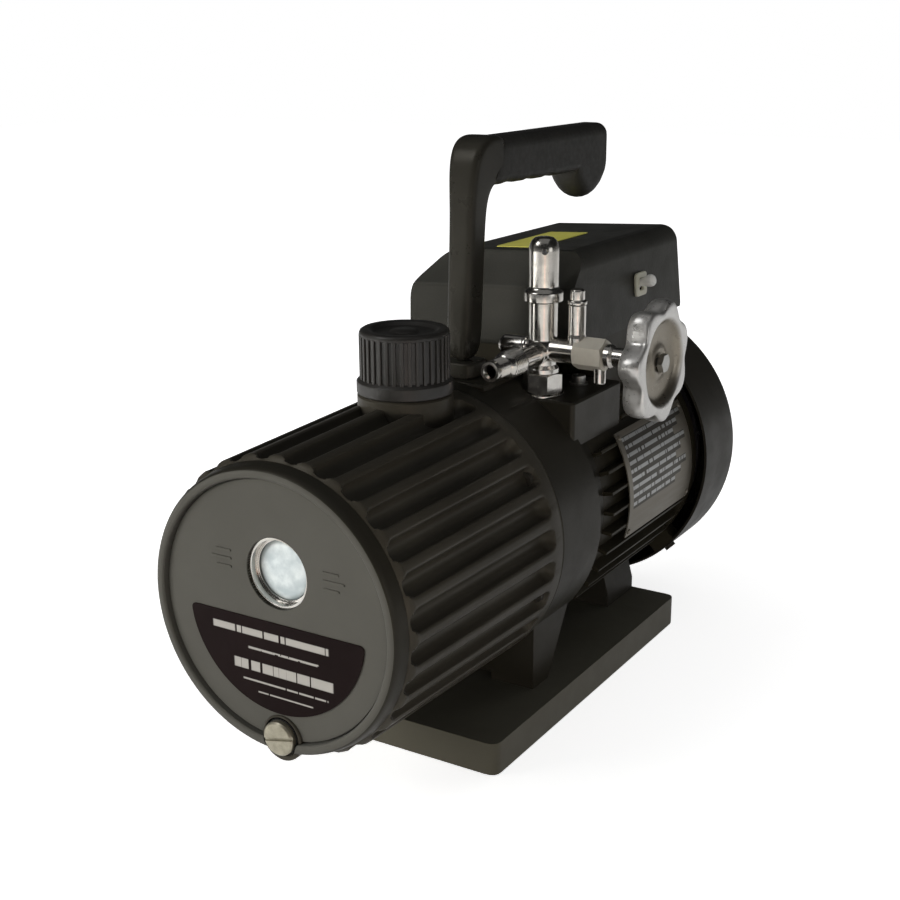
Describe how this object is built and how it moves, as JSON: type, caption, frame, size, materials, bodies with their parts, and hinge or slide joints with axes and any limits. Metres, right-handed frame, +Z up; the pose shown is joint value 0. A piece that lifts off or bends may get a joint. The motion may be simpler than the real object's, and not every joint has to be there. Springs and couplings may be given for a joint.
{
  "type": "rotary vane vacuum pump",
  "caption": "Direct-drive two-stage rotary vane vacuum pump with ribbed oil casing, sight glass, finned motor, intake manifold with handwheel valve, carrying handle and base.",
  "frame": {"origin": "centre of the base plate's underside", "axes": "+Y along the shaft from the sight glass end to the fan end, +Z up, +X toward the handwheel"},
  "size_m": [0.1941, 0.3756, 0.305],
  "materials": {
    "satin_black_paint": "satin dark grey enamel over cast aluminium",
    "base_paint": "satin black enamel over cast aluminium",
    "motor_paint": "semi-matt black enamel over cast aluminium",
    "cowl_paint": "satin black enamel over drawn steel",
    "box_paint": "fine textured black enamel",
    "black_plastic": "moulded black nylon",
    "handle_enamel": "satin black enamel over cast aluminium",
    "grip_rubber": "soft black rubber with fine grain",
    "seal_rubber": "nitrile rubber",
    "gasket_paper": "oil-resistant gasket sheet",
    "nickel": "bright nickel plate on brass",
    "zinc_steel": "zinc plated steel",
    "pale_brass": "pale nickel brass",
    "bare_steel": "ground steel",
    "bearing_steel": "hardened and ground steel",
    "lamination": "stacked electrical steel",
    "copper": "varnished copper wire",
    "cast_iron": "machined grey iron",
    "bare_aluminium": "bare cast aluminium",
    "vane_composite": "phenolic composite",
    "fan_plastic": "moulded polypropylene",
    "capacitor_can": "moulded light grey can",
    "lens_glass": "clear sight glass",
    "label_black": "printed black film on aluminium, left bare",
    "plate_silver": "bare satin aluminium plate",
    "sticker_yellow": "plain yellow film",
    "switch_cream": "cream plastic",
    "switch_white": "white plastic",
    "reed_steel": "spring steel"
  },
  "bodies": {
    "frame": {"base_plate": "base_paint", "base_screws": "zinc_steel", "rear_foot": "motor_paint", "centre_bracket": "satin_black_paint", "boss_screw": "zinc_steel", "oil_casing": "satin_black_paint", "casing_gasket": "gasket_paper", "casing_screws": "zinc_steel", "front_label": "label_black", "sight_bezel": "zinc_steel", "sight_glass": "lens_glass", "sight_oring": "seal_rubber", "handle_frame": "handle_enamel", "handle_screws": "zinc_steel", "handle_grip": "grip_rubber", "manifold_body": "nickel", "flare_branch": "nickel", "manifold_nut": "nickel", "valve_bonnet": "nickel", "motor_housing": "motor_paint", "stator_core": "lamination", "windings": "copper", "front_shield": "bare_aluminium", "end_bell": "motor_paint", "bearings": "bearing_steel", "fan_cowl": "cowl_paint", "cowl_screws": "zinc_steel", "data_plate": "plate_silver", "terminal_box": "box_paint", "box_tray": "box_paint", "box_sticker": "sticker_yellow", "switch_bezel": "switch_cream", "run_capacitor": "capacitor_can", "pump_stator_1": "cast_iron", "pump_stator_2": "cast_iron", "pump_plates": "cast_iron", "pump_bolts": "zinc_steel", "exhaust_valve": "reed_steel", "shaft_bush": "bearing_steel", "shaft_seal": "seal_rubber"},
    "rotor": {"motor_shaft": "bare_steel", "rotor_core": "lamination", "coupling": "bare_aluminium", "fan": "fan_plastic", "pump_shaft": "bare_steel", "pump_rotors": "bare_steel", "vanes": "vane_composite"},
    "fill_cap": {"oil_fill_cap": "black_plastic", "cap_seal": "seal_rubber"},
    "drain": {"drain_plug": "pale_brass", "drain_washer": "seal_rubber"},
    "top_cap": {"port_cap_top": "nickel"},
    "side_cap": {"port_cap_left": "nickel"},
    "small_cap": {"port_cap_small": "nickel"},
    "valve_wheel": {"handwheel": "nickel", "valve_stem": "bare_steel", "wheel_nut": "zinc_steel"},
    "valve_seat_disc": {"valve_disc": "seal_rubber"},
    "power_lever": {"switch_lever": "switch_white"}
  },
  "joints": [
    {"name": "shaft_spin", "type": "hinge", "parent": "frame", "child": "rotor", "pos_m": [0, 0, 0.102], "axis": [0, 1, 0], "continuous": true},
    {"name": "fill_cap_lift", "type": "slide", "parent": "frame", "child": "fill_cap", "axis": [0, 0, 1], "range_m": [0, 0.035]},
    {"name": "drain_plug_out", "type": "slide", "parent": "frame", "child": "drain", "axis": [0, -1, 0], "range_m": [0, 0.025]},
    {"name": "top_cap_lift", "type": "slide", "parent": "frame", "child": "top_cap", "axis": [0, 0, 1], "range_m": [0, 0.025]},
    {"name": "side_cap_off", "type": "slide", "parent": "frame", "child": "side_cap", "axis": [-1, 0, 0], "range_m": [0, 0.015]},
    {"name": "small_cap_lift", "type": "slide", "parent": "frame", "child": "small_cap", "axis": [0, 0, 1], "range_m": [0, 0.012]},
    {"name": "wheel_turn", "type": "hinge", "parent": "frame", "child": "valve_wheel", "pos_m": [0.1, 0.0013, 0.194], "axis": [1, 0, 0], "range_deg": [0, 1080]},
    {"name": "valve_close", "type": "slide", "parent": "frame", "child": "valve_seat_disc", "axis": [-1, 0, 0], "range_m": [0, 0.004]},
    {"name": "power_switch", "type": "hinge", "parent": "frame", "child": "power_lever", "pos_m": [0.04511, 0.101, 0.21452], "axis": [0, 1, 0], "range_deg": [0, 24]}
  ],
  "couplings": [
    {"joint": "valve_close", "follows": "wheel_turn", "m_per_rad": 0.00021221}
  ]
}
